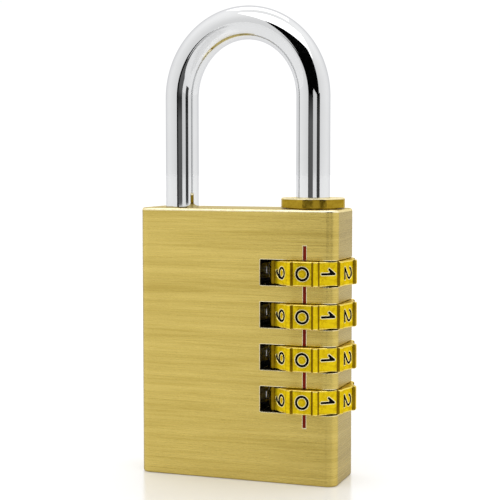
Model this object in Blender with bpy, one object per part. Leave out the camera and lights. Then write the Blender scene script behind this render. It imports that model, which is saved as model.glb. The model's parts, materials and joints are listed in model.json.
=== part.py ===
"""A four-dial combination padlock, as the separate pieces that it comes apart into.

Metres, +Z up. The origin is the middle of the body's bottom face. The padlock stands on that face
with its index line towards -Y, the dials and the shackle's long leg at +X, and the toe at -X.
"""

import math

import bmesh
import bpy
from mathutils import Vector
from mathutils.geometry import tessellate_polygon

MM = 0.001

# Body: a brass block, slotted for the dials from its front, back and right side.
BODY_WIDTH = 40.0 * MM
BODY_DEPTH = 13.0 * MM
BODY_HEIGHT = 52.3 * MM
CORNER_RADIUS = 2.0 * MM
TOP_CHAMFER = 0.5 * MM
BOTTOM_CHAMFER = 0.4 * MM

# Shackle: two straight legs and a slightly tall arch.
SHACKLE_RADIUS = 3.25 * MM
LEG_X = 13.5 * MM
LEG_ABOVE_BODY = 21.3 * MM
ARCH_RISE = 14.4 * MM
TOE_Z = 45.1 * MM
HEEL_Z = 9.0 * MM
LEG_END_CHAMFER = 0.6 * MM
LEG_HOLE_RADIUS = SHACKLE_RADIUS + 0.25 * MM
TOE_BORE_DEPTH = 8.8 * MM

# Dials: ten flats, with a raised rib between each two.
DIAL_COUNT = 4
DIGITS = 10
TOP_DIAL_Z = 40.34 * MM
DIAL_PITCH = 8.08 * MM
DIAL_THICKNESS = 4.7 * MM
DIAL_APOTHEM = 7.93 * MM
DIAL_FLAT_WIDTH = 3.79 * MM
DIAL_RIB_RADIUS = 8.6 * MM
DIAL_RIB_TAPER = math.radians(0.4)
DIAL_CHAMFER = 0.25 * MM
DIAL_BORE_RADIUS = 5.75 * MM
INDEX_ANGLE = math.radians(-90.0 + 2.2)

# Slots: square-ended windows, each with a pocket for the spring that clicks its dial.
SLOT_HEIGHT = 4.9 * MM
SLOT_LEFT_X = 5.0 * MM
POCKET_DEPTH = 1.6 * MM
POCKET_WIDTH = 11.8 * MM
POCKET_HEIGHT = 4.8 * MM
CUT_MARGIN = 4.0 * MM

# Code teeth: they join a dial to its hub, and part when the hubs are pushed down.
TOOTH_BAND_LOW = 0.9 * MM
DIAL_TOOTH_TIP_RADIUS = 5.1 * MM
DIAL_TOOTH_TIP = math.radians(6.0)
DIAL_TOOTH_ROOT = math.radians(8.5)
HUB_TOOTH_TIP_RADIUS = 5.45 * MM
HUB_TOOTH_ROOT_RADIUS = 4.95 * MM
HUB_TOOTH_TIP = math.radians(5.5)
HUB_TOOTH_ROOT = math.radians(8.5)

# Lock stack, around the long leg.
STACK_BORE_RADIUS = 5.6 * MM
STACK_BORE_TOP = 45.4 * MM
NUT_BORE_RADIUS = 4.9 * MM
HUB_LOW = -0.9 * MM
HUB_HIGH = 2.2 * MM
HUB_BORE_RADIUS = 3.85 * MM
GATE_RADIUS = 4.55 * MM
GATE_HALF_WIDTH = 1.3 * MM
SLEEVE_BORE_RADIUS = 3.35 * MM
SLEEVE_RADIUS = 3.75 * MM
SLEEVE_TOP = 44.2 * MM
FLANGE_RADIUS = 5.3 * MM
FLANGE_LOW = 6.6 * MM
FLANGE_HIGH = 7.6 * MM
SPACER_RADIUS = 4.9 * MM
STACK_GAP = 0.15 * MM
RING_THICKNESS = 0.6 * MM
RING_HALF_GAP = 1.9 * MM

# Locking pins: one below each hub, where it stays clear of a hub that is pushed down.
PIN_RADIUS = 1.0 * MM
PIN_REACH = 4.35 * MM
PIN_ROOT = 0.8 * MM
PIN_DROP = 4.14 * MM
PIN_HOLE_RADIUS = 1.3 * MM
PIN_HOLE_ROOT = 0.5 * MM
PIN_CHAMFER = 0.2 * MM

# Guide nut: the collar that the long leg slides through, round with four wrench flats.
NUT_RADIUS = 6.1 * MM
NUT_TURN = math.radians(-3.0)
NUT_LOW = BODY_HEIGHT + 0.2 * MM
NUT_HIGH = BODY_HEIGHT + 2.1 * MM
NUT_CHAMFER = 0.25 * MM
NUT_SHANK_RADIUS = 4.6 * MM
NUT_SHANK_LOW = 45.5 * MM

# Springs and the plug that closes the stack's bore.
CLICK_HALF_LENGTH = 4.8 * MM
CLICK_CREST_X = 4.8 * MM
CLICK_FOOT_X = 3.95 * MM
CLICK_THICKNESS = 0.25 * MM
CLICK_HEIGHT = 3.0 * MM
CLICK_STEPS = 12
RESET_COIL_RADIUS = 4.6 * MM
RESET_WIRE_RADIUS = 0.3 * MM
RESET_LOW = 1.8 * MM
RESET_TURNS = 4.25
PLUG_RADIUS = 5.3 * MM
PLUG_LOW = 0.1 * MM
PLUG_HIGH = 1.6 * MM
PLUG_CHAMFER = 0.25 * MM

# Facets
BORE_SIDES = 40
LEG_SIDES = 28
ARCH_STEPS = 28
CORNER_STEPS = 6
PIN_SIDES = 14
COIL_STEPS_PER_TURN = 14
WIRE_SIDES = 6

BRASS = (0.58, 0.43, 0.13)
BRIGHT_BRASS = (0.66, 0.46, 0.04)
CHROME = (0.82, 0.83, 0.85)
STEEL = (0.55, 0.55, 0.57)
DARK_STEEL = (0.16, 0.16, 0.17)


def clear_scene():
    for old in list(bpy.data.objects):
        bpy.data.objects.remove(old, do_unlink=True)


def dial_z(index):
    """The height of a dial's middle. Dial 1 is the top one."""
    return TOP_DIAL_Z - (index - 1) * DIAL_PITCH


def metal(name, colour, roughness):
    made = bpy.data.materials.new(name)
    made.use_nodes = True
    shader = made.node_tree.nodes["Principled BSDF"]
    shader.inputs["Base Color"].default_value = (*colour, 1.0)
    shader.inputs["Roughness"].default_value = roughness
    shader.inputs["Metallic"].default_value = 1.0
    return made


def add_object(name, bm, location=(0.0, 0.0, 0.0), colour=None, roughness=0.3):
    """A named object from a bmesh. With no colour it is a cutter."""
    bmesh.ops.recalc_face_normals(bm, faces=bm.faces)
    mesh = bpy.data.meshes.new(name)
    bm.to_mesh(mesh)
    bm.free()
    mesh.shade_smooth()
    mesh.set_sharp_from_angle(angle=math.radians(30.0))
    made = bpy.data.objects.new(name, mesh)
    made.location = location
    bpy.context.collection.objects.link(made)
    if colour is None:
        made.hide_render = True
        made.display_type = "WIRE"
    else:
        mesh.materials.append(metal(name, colour, roughness))
    return made


def cut(target, cutter):
    modifier = target.modifiers.new(cutter.name, "BOOLEAN")
    modifier.operation = "DIFFERENCE"
    modifier.solver = "EXACT"
    modifier.object = cutter


# Outlines: closed loops of (x, y), anticlockwise.


def polar(radius, angle):
    return (radius * math.cos(angle), radius * math.sin(angle))


def circle(radius, sides):
    return [polar(radius, 2.0 * math.pi * i / sides) for i in range(sides)]


def rounded_rectangle(width, depth, radius):
    outline = []
    centres = [(1, 1), (-1, 1), (-1, -1), (1, -1)]
    for quarter, (sx, sy) in enumerate(centres):
        cx = sx * (width / 2.0 - radius)
        cy = sy * (depth / 2.0 - radius)
        for step in range(CORNER_STEPS + 1):
            x, y = polar(radius, (quarter + step / CORNER_STEPS) * math.pi / 2.0)
            outline.append((cx + x, cy + y))
    return outline


def tooth_angles(root, tip):
    """Four angles for each of ten teeth: up the flank, across the tip and down again."""
    angles = []
    for i in range(DIGITS):
        middle = 2.0 * math.pi * i / DIGITS
        angles += [middle - root, middle - tip, middle + tip, middle + root]
    return angles


def hub_outline(tip_radius, root_radius):
    radii = [root_radius, tip_radius, tip_radius, root_radius] * DIGITS
    angles = tooth_angles(HUB_TOOTH_ROOT, HUB_TOOTH_TIP)
    return [polar(r, a) for r, a in zip(radii, angles)]


def dial_bore_outline(tip_radius):
    """The dial's inward teeth lie between the hub's, half a digit round."""
    radii = [DIAL_BORE_RADIUS, tip_radius, tip_radius, DIAL_BORE_RADIUS] * DIGITS
    half_digit = math.pi / DIGITS
    angles = tooth_angles(DIAL_TOOTH_ROOT, DIAL_TOOTH_TIP)
    return [polar(r, a + half_digit) for r, a in zip(radii, angles)]


def dial_outline(inset):
    """Ten flats at the apothem, each ending in a step up to the rib beside it."""
    flat_end = math.atan2(DIAL_FLAT_WIDTH / 2.0, DIAL_APOTHEM)
    corner = math.hypot(DIAL_FLAT_WIDTH / 2.0, DIAL_APOTHEM) - inset
    rib = DIAL_RIB_RADIUS - inset
    outline = []
    for i in range(DIGITS):
        middle = INDEX_ANGLE + 2.0 * math.pi * i / DIGITS
        outline.append(polar(rib, middle - flat_end - DIAL_RIB_TAPER))
        outline.append(polar(corner, middle - flat_end))
        outline.append(polar(corner, middle + flat_end))
        outline.append(polar(rib, middle + flat_end + DIAL_RIB_TAPER))
    return outline


def gate_outline():
    """The hub's bore, with the notch at +Y that lets a locking pin through."""
    mouth = math.asin(GATE_HALF_WIDTH / HUB_BORE_RADIUS)
    floor = math.asin(GATE_HALF_WIDTH / GATE_RADIUS)
    start = math.pi / 2.0 + mouth
    sweep = 2.0 * (math.pi - mouth)
    outline = [polar(HUB_BORE_RADIUS, start + sweep * i / BORE_SIDES) for i in range(BORE_SIDES + 1)]
    outline += [polar(GATE_RADIUS, math.pi / 2.0 + side * floor) for side in (-1.0, 0.0, 1.0)]
    return outline


def slotted_outline(radius, bore, half_gap):
    """A ring's section, cut through by a parallel-sided gap at +Y."""
    outer = math.asin(half_gap / radius)
    inner = math.asin(half_gap / bore)
    outline = []
    for i in range(BORE_SIDES + 1):
        angle = math.pi / 2.0 + outer + 2.0 * (math.pi - outer) * i / BORE_SIDES
        outline.append(polar(radius, angle))
    for i in range(BORE_SIDES + 1):
        angle = math.pi / 2.0 - inner - 2.0 * (math.pi - inner) * i / BORE_SIDES
        outline.append(polar(bore, angle))
    return outline


# Solids


def wall(bm, levels):
    """Joins outlines of the same length, each at its height, into a wall."""
    loops = [[bm.verts.new((x, y, z)) for x, y in outline] for z, outline in levels]
    for low, high in zip(loops, loops[1:]):
        for i in range(len(low)):
            j = (i + 1) % len(low)
            bm.faces.new((low[i], low[j], high[j], high[i]))
    return loops[0], loops[-1]


def cap(bm, *loops):
    """Closes an outline, leaving open any outlines inside it."""
    verts = [v for loop in loops for v in loop]
    for corners in tessellate_polygon([[v.co for v in loop] for loop in loops]):
        bm.faces.new([verts[i] for i in corners])


def solid(levels):
    bm = bmesh.new()
    low, high = wall(bm, levels)
    cap(bm, low)
    cap(bm, high)
    return bm


def hollow(outer, inner):
    """A solid with a hole right through it."""
    bm = bmesh.new()
    outer_low, outer_high = wall(bm, outer)
    inner_low, inner_high = wall(bm, inner)
    cap(bm, outer_low, inner_low)
    cap(bm, outer_high, inner_high)
    return bm


def cylinder(radius, low, high, sides):
    outline = circle(radius, sides)
    return solid([(low, outline), (high, outline)])


def box(low, high):
    (x0, y0, z0), (x1, y1, z1) = low, high
    outline = [(x0, y0), (x1, y0), (x1, y1), (x0, y1)]
    return solid([(z0, outline), (z1, outline)])


def sweep(path, radii, sides, across):
    """A round bar along a path. The direction across is never along the path."""
    bm = bmesh.new()
    loops = []
    for i, point in enumerate(path):
        before = path[max(i - 1, 0)]
        after = path[min(i + 1, len(path) - 1)]
        along = (after - before).normalized()
        side = along.cross(across).normalized()
        up = side.cross(along)
        angles = [2.0 * math.pi * k / sides for k in range(sides)]
        loops.append([bm.verts.new(point + radii[i] * (math.cos(a) * side + math.sin(a) * up)) for a in angles])
    for low, high in zip(loops, loops[1:]):
        for k in range(sides):
            j = (k + 1) % sides
            bm.faces.new((low[k], low[j], high[j], high[k]))
    bm.faces.new(loops[0])
    bm.faces.new(loops[-1])
    return bm


# Pieces


def make_body():
    def level(z, inset):
        outline = rounded_rectangle(BODY_WIDTH - 2 * inset, BODY_DEPTH - 2 * inset, CORNER_RADIUS - inset)
        return (z, outline)

    levels = [
        level(0.0, BOTTOM_CHAMFER),
        level(BOTTOM_CHAMFER, 0.0),
        level(BODY_HEIGHT - TOP_CHAMFER, 0.0),
        level(BODY_HEIGHT, TOP_CHAMFER),
    ]
    body = add_object("padlock_body", solid(levels), colour=BRASS, roughness=0.32)

    toe_low = BODY_HEIGHT - TOE_BORE_DEPTH
    toe = cylinder(LEG_HOLE_RADIUS, toe_low, BODY_HEIGHT + CUT_MARGIN, BORE_SIDES)
    cut(body, add_object("cut_toe_bore", toe, (-LEG_X, 0.0, 0.0)))

    wide = circle(STACK_BORE_RADIUS, BORE_SIDES)
    narrow = circle(NUT_BORE_RADIUS, BORE_SIDES)
    bore = solid(
        [
            (-CUT_MARGIN, wide),
            (STACK_BORE_TOP, wide),
            (STACK_BORE_TOP, narrow),
            (BODY_HEIGHT + CUT_MARGIN, narrow),
        ]
    )
    cut(body, add_object("cut_stack_bore", bore, (LEG_X, 0.0, 0.0)))

    for index in range(1, DIAL_COUNT + 1):
        place = (0.0, 0.0, dial_z(index))
        far_x = BODY_WIDTH / 2.0 + CUT_MARGIN
        far_y = BODY_DEPTH / 2.0 + CUT_MARGIN
        half = SLOT_HEIGHT / 2.0
        slot = box((SLOT_LEFT_X, -far_y, -half), (far_x, far_y, half))
        cut(body, add_object(f"cut_slot_{index}", slot, place))
        half = POCKET_HEIGHT / 2.0
        low = (SLOT_LEFT_X - POCKET_DEPTH, -POCKET_WIDTH / 2.0, -half)
        high = (SLOT_LEFT_X + POCKET_DEPTH, POCKET_WIDTH / 2.0, half)
        cut(body, add_object(f"cut_pocket_{index}", box(low, high), place))


def make_shackle():
    """Swept from the heel of the long leg, over the arch, to the toe."""
    arch_z = BODY_HEIGHT + LEG_ABOVE_BODY
    path = [Vector((LEG_X, 0.0, HEEL_Z)), Vector((LEG_X, 0.0, HEEL_Z + LEG_END_CHAMFER))]
    for i in range(ARCH_STEPS + 1):
        angle = math.pi * i / ARCH_STEPS
        path.append(Vector((LEG_X * math.cos(angle), 0.0, arch_z + ARCH_RISE * math.sin(angle))))
    path += [Vector((-LEG_X, 0.0, TOE_Z + LEG_END_CHAMFER)), Vector((-LEG_X, 0.0, TOE_Z))]
    radii = [SHACKLE_RADIUS] * len(path)
    radii[0] -= LEG_END_CHAMFER
    radii[-1] -= LEG_END_CHAMFER
    bar = sweep(path, radii, LEG_SIDES, Vector((0.0, 1.0, 0.0)))
    bmesh.ops.translate(bar, verts=bar.verts, vec=(-LEG_X, 0.0, -HEEL_Z))
    shackle = add_object("shackle", bar, (LEG_X, 0.0, HEEL_Z), CHROME, 0.08)
    for index in range(1, DIAL_COUNT + 1):
        hole = cylinder(PIN_HOLE_RADIUS, PIN_HOLE_ROOT, SHACKLE_RADIUS + CUT_MARGIN, PIN_SIDES)
        cutter = add_object(f"cut_pin_hole_{index}", hole, pin_place(index))
        cutter.rotation_euler = (-math.pi / 2.0, 0.0, 0.0)
        cut(shackle, cutter)


def pin_place(index):
    return (LEG_X, 0.0, dial_z(index) - PIN_DROP)


def make_locking_pin(index):
    round_end = circle(PIN_RADIUS - PIN_CHAMFER, PIN_SIDES)
    barrel = circle(PIN_RADIUS, PIN_SIDES)
    levels = [(PIN_ROOT, barrel), (PIN_REACH - PIN_CHAMFER, barrel), (PIN_REACH, round_end)]
    pin = add_object(f"locking_pin_{index}", solid(levels), pin_place(index), STEEL, 0.35)
    pin.rotation_euler = (-math.pi / 2.0, 0.0, 0.0)


def make_guide_nut():
    """A round head with four flats, on a round shank."""
    per_side = BORE_SIDES // 8
    turn = math.pi / 4.0 + NUT_TURN

    def head(radius):
        """Flats and arcs by turns, with as many points as the shank's so that a wall can join them."""
        outline = []
        for i in range(8):
            start = turn + math.pi * i / 4.0
            ends = (Vector(polar(radius, start)), Vector(polar(radius, start + math.pi / 4.0)))
            for k in range(per_side):
                share = k / per_side
                flat = tuple(ends[0].lerp(ends[1], share))
                outline.append(polar(radius, start + math.pi / 4.0 * share) if i % 2 else flat)
        return outline

    shank = [polar(NUT_SHANK_RADIUS, turn + 2.0 * math.pi * i / BORE_SIDES) for i in range(BORE_SIDES)]
    outer = [
        (NUT_SHANK_LOW, shank),
        (NUT_LOW, shank),
        (NUT_LOW, head(NUT_RADIUS)),
        (NUT_HIGH - NUT_CHAMFER, head(NUT_RADIUS)),
        (NUT_HIGH, head(NUT_RADIUS - NUT_CHAMFER)),
    ]
    bore = circle(LEG_HOLE_RADIUS, BORE_SIDES)
    inner = [(NUT_SHANK_LOW, bore), (NUT_HIGH, bore)]
    add_object("guide_nut", hollow(outer, inner), (LEG_X, 0.0, 0.0), BRASS, 0.28)


def make_dial(index):
    half = DIAL_THICKNESS / 2.0
    outer = [
        (-half, dial_outline(DIAL_CHAMFER)),
        (-half + DIAL_CHAMFER, dial_outline(0.0)),
        (half - DIAL_CHAMFER, dial_outline(0.0)),
        (half, dial_outline(DIAL_CHAMFER)),
    ]
    inner = [
        (-half, dial_bore_outline(DIAL_BORE_RADIUS)),
        (TOOTH_BAND_LOW, dial_bore_outline(DIAL_BORE_RADIUS)),
        (TOOTH_BAND_LOW, dial_bore_outline(DIAL_TOOTH_TIP_RADIUS)),
        (half, dial_bore_outline(DIAL_TOOTH_TIP_RADIUS)),
    ]
    place = (LEG_X, 0.0, dial_z(index))
    add_object(f"dial_{index}", hollow(outer, inner), place, BRIGHT_BRASS, 0.3)


def make_dial_hub(index):
    plain = hub_outline(HUB_TOOTH_ROOT_RADIUS, HUB_TOOTH_ROOT_RADIUS)
    toothed = hub_outline(HUB_TOOTH_TIP_RADIUS, HUB_TOOTH_ROOT_RADIUS)
    outer = [(HUB_LOW, plain), (TOOTH_BAND_LOW, plain), (TOOTH_BAND_LOW, toothed), (HUB_HIGH, toothed)]
    inner = [(HUB_LOW, gate_outline()), (HUB_HIGH, gate_outline())]
    place = (LEG_X, 0.0, dial_z(index))
    bm = hollow(outer, inner)
    bmesh.ops.remove_doubles(bm, verts=bm.verts, dist=0.001 * MM)
    add_object(f"dial_hub_{index}", bm, place, STEEL, 0.4)


def make_slotted_ring(name, low, high, radius, half_gap, colour):
    outline = slotted_outline(radius, HUB_BORE_RADIUS, half_gap)
    bm = solid([(0.0, outline), (high - low, outline)])
    add_object(name, bm, (LEG_X, 0.0, low), colour, 0.4)


def make_spacers():
    """Each spacer stands between a hub and the next thing below it."""
    for index in range(1, DIAL_COUNT + 1):
        high = dial_z(index) + HUB_LOW - STACK_GAP
        low = dial_z(index + 1) + HUB_HIGH + STACK_GAP
        if index == DIAL_COUNT:
            low = FLANGE_HIGH + STACK_GAP
        make_slotted_ring(f"spacer_{index}", low, high, SPACER_RADIUS, GATE_HALF_WIDTH, BRASS)


def make_retaining_ring():
    low = dial_z(1) + HUB_HIGH + STACK_GAP
    make_slotted_ring("retaining_ring", low, low + RING_THICKNESS, SPACER_RADIUS, RING_HALF_GAP, DARK_STEEL)


def make_reset_sleeve():
    """A keyed tube that carries the hubs and spacers on its flange."""
    flange = slotted_outline(FLANGE_RADIUS, SLEEVE_BORE_RADIUS, GATE_HALF_WIDTH)
    tube = slotted_outline(SLEEVE_RADIUS, SLEEVE_BORE_RADIUS, GATE_HALF_WIDTH)
    flange_height = FLANGE_HIGH - FLANGE_LOW
    bm = bmesh.new()
    levels = [(0.0, flange), (flange_height, flange), (flange_height, tube), (SLEEVE_TOP - FLANGE_LOW, tube)]
    low, high = wall(bm, levels)
    cap(bm, low)
    cap(bm, high)
    bmesh.ops.remove_doubles(bm, verts=bm.verts, dist=0.001 * MM)
    bmesh.ops.dissolve_degenerate(bm, edges=bm.edges, dist=0.001 * MM)
    add_object("reset_sleeve", bm, (LEG_X, 0.0, FLANGE_LOW), STEEL, 0.35)


def make_click_spring(index):
    """A bowed leaf with its crest towards the dial."""

    def bow(crest_x, foot_x):
        points = []
        for i in range(CLICK_STEPS + 1):
            t = 2.0 * i / CLICK_STEPS - 1.0
            x = foot_x + (crest_x - foot_x) * math.cos(t * math.pi / 2.0) ** 2
            points.append((x, t * CLICK_HALF_LENGTH))
        return points

    front = bow(CLICK_CREST_X, CLICK_FOOT_X)
    back = bow(CLICK_CREST_X - CLICK_THICKNESS, CLICK_FOOT_X - CLICK_THICKNESS)
    outline = front + back[::-1]
    half = CLICK_HEIGHT / 2.0
    place = (0.0, 0.0, dial_z(index))
    add_object(f"click_spring_{index}", solid([(-half, outline), (half, outline)]), place, STEEL, 0.2)


def make_reset_spring():
    high = FLANGE_LOW - STACK_GAP
    rise = high - RESET_LOW - 2.0 * RESET_WIRE_RADIUS
    steps = round(RESET_TURNS * COIL_STEPS_PER_TURN)
    path = []
    for i in range(steps + 1):
        x, y = polar(RESET_COIL_RADIUS, 2.0 * math.pi * i / COIL_STEPS_PER_TURN)
        path.append(Vector((x, y, RESET_WIRE_RADIUS + rise * i / steps)))
    wire = sweep(path, [RESET_WIRE_RADIUS] * len(path), WIRE_SIDES, Vector((0.0, 0.0, 1.0)))
    add_object("reset_spring", wire, (LEG_X, 0.0, RESET_LOW), STEEL, 0.3)


def make_bottom_plug():
    edge = circle(PLUG_RADIUS - PLUG_CHAMFER, BORE_SIDES)
    disc = circle(PLUG_RADIUS, BORE_SIDES)
    levels = [(PLUG_LOW, edge), (PLUG_LOW + PLUG_CHAMFER, disc), (PLUG_HIGH, disc)]
    add_object("bottom_plug", solid(levels), (LEG_X, 0.0, 0.0), BRASS, 0.35)


def main():
    clear_scene()
    make_body()
    make_shackle()
    make_guide_nut()
    for index in range(1, DIAL_COUNT + 1):
        make_dial(index)
        make_dial_hub(index)
        make_click_spring(index)
        make_locking_pin(index)
    make_spacers()
    make_retaining_ring()
    make_reset_sleeve()
    make_reset_spring()
    make_bottom_plug()


main()
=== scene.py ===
"""The looks of the combination padlock: fine brass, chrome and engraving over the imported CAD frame.

Metres, in the CAD's frame: +Z up, -Y out of the front face, +X towards the dials.
"""

import json
import math

import bmesh
import bpy
from mathutils import Matrix, Vector
from mathutils.geometry import tessellate_polygon


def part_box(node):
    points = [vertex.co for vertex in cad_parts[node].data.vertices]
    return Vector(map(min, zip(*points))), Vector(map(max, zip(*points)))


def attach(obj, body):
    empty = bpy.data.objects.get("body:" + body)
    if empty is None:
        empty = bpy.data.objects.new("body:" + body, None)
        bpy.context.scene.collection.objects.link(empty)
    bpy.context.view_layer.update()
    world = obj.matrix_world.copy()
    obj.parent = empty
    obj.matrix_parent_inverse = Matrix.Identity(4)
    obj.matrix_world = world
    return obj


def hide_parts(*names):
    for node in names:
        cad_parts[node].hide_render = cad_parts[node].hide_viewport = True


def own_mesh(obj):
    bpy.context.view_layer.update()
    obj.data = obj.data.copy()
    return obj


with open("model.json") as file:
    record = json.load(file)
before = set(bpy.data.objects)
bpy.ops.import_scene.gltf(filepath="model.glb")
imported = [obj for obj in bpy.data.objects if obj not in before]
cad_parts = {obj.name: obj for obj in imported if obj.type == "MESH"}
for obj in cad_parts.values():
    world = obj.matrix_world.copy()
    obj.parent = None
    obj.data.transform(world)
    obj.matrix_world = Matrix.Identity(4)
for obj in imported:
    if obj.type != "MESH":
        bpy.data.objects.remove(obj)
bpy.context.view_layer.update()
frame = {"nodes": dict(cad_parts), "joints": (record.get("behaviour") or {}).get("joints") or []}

MM = 0.001
DIALS = (1, 2, 3, 4)
DIGITS = 10

# Sizes that the frame holds
BODY_LOW, BODY_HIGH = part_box("padlock_body")
BODY_WIDTH = BODY_HIGH.x - BODY_LOW.x
BODY_DEPTH = BODY_HIGH.y - BODY_LOW.y
BODY_TOP = BODY_HIGH.z
SHACKLE_LOW, SHACKLE_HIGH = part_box("shackle")
SHACKLE_RADIUS = (SHACKLE_HIGH.y - SHACKLE_LOW.y) / 2.0
LEG_X = SHACKLE_HIGH.x - SHACKLE_RADIUS
NUT_LOW, NUT_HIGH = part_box("guide_nut")
PLUG_LOW, PLUG_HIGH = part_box("bottom_plug")
DIAL_LOW, DIAL_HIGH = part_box("dial_1")
DIAL_HALF = (DIAL_HIGH.z - DIAL_LOW.z) / 2.0
TURN = {joint["name"]: joint for joint in frame["joints"]}


def dial_z(index):
    return TURN[f"dial_{index}_turn"]["pos_m"][2]


# Body
CORNER_RADIUS = 2.0 * MM
TOP_CHAMFER = 0.5 * MM
BOTTOM_CHAMFER = 0.4 * MM
EDGE_BREAK = 0.14 * MM
TOP_RIM_LOW = BODY_TOP - TOP_CHAMFER - 0.01 * MM
LEG_HOLE_RADIUS = SHACKLE_RADIUS + 0.25 * MM
TOE_BORE_DEPTH = 8.8 * MM
STACK_BORE_RADIUS = 5.6 * MM
STACK_BORE_TOP = 45.4 * MM
NUT_BORE_RADIUS = 4.9 * MM
SLOT_LEFT_X = 5.0 * MM
SLOT_HALF = DIAL_HALF + 0.1 * MM
POCKET_DEPTH = 1.6 * MM
POCKET_WIDTH = 11.8 * MM
POCKET_HALF = 2.4 * MM
# How far a cutter runs past the body
PAST = 4.0 * MM

# Index line
INDEX_ANGLE = math.radians(-90.0 + 2.2)
INDEX_X = LEG_X + 0.33 * MM
INDEX_WIDTH = 0.63 * MM
INDEX_RIM = 0.13 * MM
INDEX_RIM_DEPTH = 0.05 * MM
INDEX_GAP = 0.02 * MM
INDEX_TOP = 45.5 * MM
INDEX_FOOT = 11.0 * MM
INDEX_DEPTH = 0.3 * MM

# Dials
DIGIT_ANGLE = 2.0 * math.pi / DIGITS
FLAT_APOTHEM = 7.93 * MM
FLAT_WIDTH = 3.79 * MM
FLAT_END = math.atan2(FLAT_WIDTH / 2.0, FLAT_APOTHEM)
RIB_RADIUS = 8.6 * MM
RIB_TAPER = math.radians(0.9)
RIB_EDGE = 0.09 * MM
# Width of the strip at each flat's end that takes painted shade beside the rib
SHADE_STRIP_ANGLE = math.radians(1.0)
DIAL_CHAMFER = 0.25 * MM
DIAL_BORE_RADIUS = 5.75 * MM
TOOTH_TIP_RADIUS = 5.1 * MM
TOOTH_BAND_LOW = 0.9 * MM

# Digits, in mm
STROKE_HALF = 0.225
STROKE_DEPTH = 0.32
RIM_HALF = 0.35
RIM_DEPTH = 0.05

# Springs
RESET_TURNS = 4.25
RESET_WIRE_RADIUS = 0.3 * MM
LEAF_THICKNESS = 0.25 * MM
NOSE_X = 4.6 * MM
NOSE_Y = -1.4 * MM
NOSE_RADIUS = 0.27 * MM
NOSE_HALF = 0.95 * MM

# Shackle
LEG_END_CHAMFER = 0.6 * MM
TOE_FOOT_GAP = 1.6 * MM
ARCH_RISE = 14.4 * MM
NUT_RADIUS = 6.1 * MM
PIN_HOLE_RADIUS = 1.3 * MM

ROUND_SIDES = 96


# Materials


class Shader:
    """A material's node tree, with short calls for the nodes that these finishes use."""

    def __init__(self, name, metallic, roughness):
        self.material = bpy.data.materials.new(name)
        self.material.use_nodes = True
        self.tree = self.material.node_tree
        self.principled = self.tree.nodes["Principled BSDF"]
        self.principled.inputs["Metallic"].default_value = metallic
        self.principled.inputs["Roughness"].default_value = roughness

    def link(self, source, target):
        self.tree.links.new(source, target)

    def noise(self, stretch, detail=4.0, roughness=0.55, distortion=0.0):
        """Noise over the object's own coordinates; stretch is cells per metre along X, Y and Z."""
        place = self.tree.nodes.new("ShaderNodeTexCoord")
        mapping = self.tree.nodes.new("ShaderNodeMapping")
        mapping.inputs["Scale"].default_value = stretch
        noise = self.tree.nodes.new("ShaderNodeTexNoise")
        noise.inputs["Scale"].default_value = 1.0
        noise.inputs["Detail"].default_value = detail
        noise.inputs["Roughness"].default_value = roughness
        noise.inputs["Distortion"].default_value = distortion
        self.link(place.outputs["Object"], mapping.inputs["Vector"])
        self.link(mapping.outputs["Vector"], noise.inputs["Vector"])
        return noise.outputs["Fac"]

    def ramp(self, source, *stops):
        """Colours, or roughness values, along a noise's range; each stop is (place, value)."""
        ramp = self.tree.nodes.new("ShaderNodeValToRGB")
        elements = ramp.color_ramp.elements
        for i, (place, value) in enumerate(stops):
            element = elements[i] if i < 2 else elements.new(place)
            element.position = place
            element.color = (*value, 1.0) if isinstance(value, tuple) else (value, value, value, 1.0)
        self.link(source, ramp.inputs["Fac"])
        return ramp.outputs["Color"]

    def mix(self, share, first, second):
        """The first source with the given share of the second."""
        mix = self.tree.nodes.new("ShaderNodeMix")
        mix.data_type = "RGBA"
        mix.inputs["Factor"].default_value = share
        self.link(first, mix.inputs["A"])
        self.link(second, mix.inputs["B"])
        return mix.outputs["Result"]

    def colour(self, source):
        self.link(source, self.principled.inputs["Base Color"])

    def roughness(self, source):
        self.link(source, self.principled.inputs["Roughness"])

    def bump(self, *layers):
        """Layers of (source, height in metres), one over the other."""
        normal = None
        for source, height in layers:
            bump = self.tree.nodes.new("ShaderNodeBump")
            bump.inputs["Strength"].default_value = 1.0
            bump.inputs["Distance"].default_value = height
            self.link(source, bump.inputs["Height"])
            if normal:
                self.link(normal, bump.inputs["Normal"])
            normal = bump.outputs["Normal"]
        self.link(normal, self.principled.inputs["Normal"])


def brushed_brass(name, dark, light, roughness=0.26):
    """Brass brushed across the width: long fine streaks in colour, gloss and height."""
    shader = Shader(name, 1.0, roughness)
    round_axis = shader.tree.nodes.new("ShaderNodeTangent")
    round_axis.direction_type = "RADIAL"
    round_axis.axis = "Z"
    shader.link(round_axis.outputs["Tangent"], shader.principled.inputs["Tangent"])
    shader.principled.inputs["Anisotropic"].default_value = 1.0
    shader.principled.inputs["Anisotropic Rotation"].default_value = 0.25
    shader.principled.inputs["Specular Tint"].default_value = (0.62, 0.62, 0.66, 1.0)
    broad = shader.noise((30.0, 30.0, 900.0), detail=3.0, distortion=0.4)
    streaks = shader.noise((80.0, 80.0, 4200.0), detail=5.0, roughness=0.7)
    hairs = shader.noise((220.0, 220.0, 16000.0), detail=3.0)
    both = shader.mix(0.58, broad, streaks)
    shader.colour(shader.ramp(both, (0.36, dark), (0.64, light)))
    shader.roughness(shader.ramp(streaks, (0.3, roughness - 0.07), (0.7, roughness + 0.09)))
    shader.bump((streaks, 0.008 * MM), (hairs, 0.002 * MM))
    return shader.material


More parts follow.
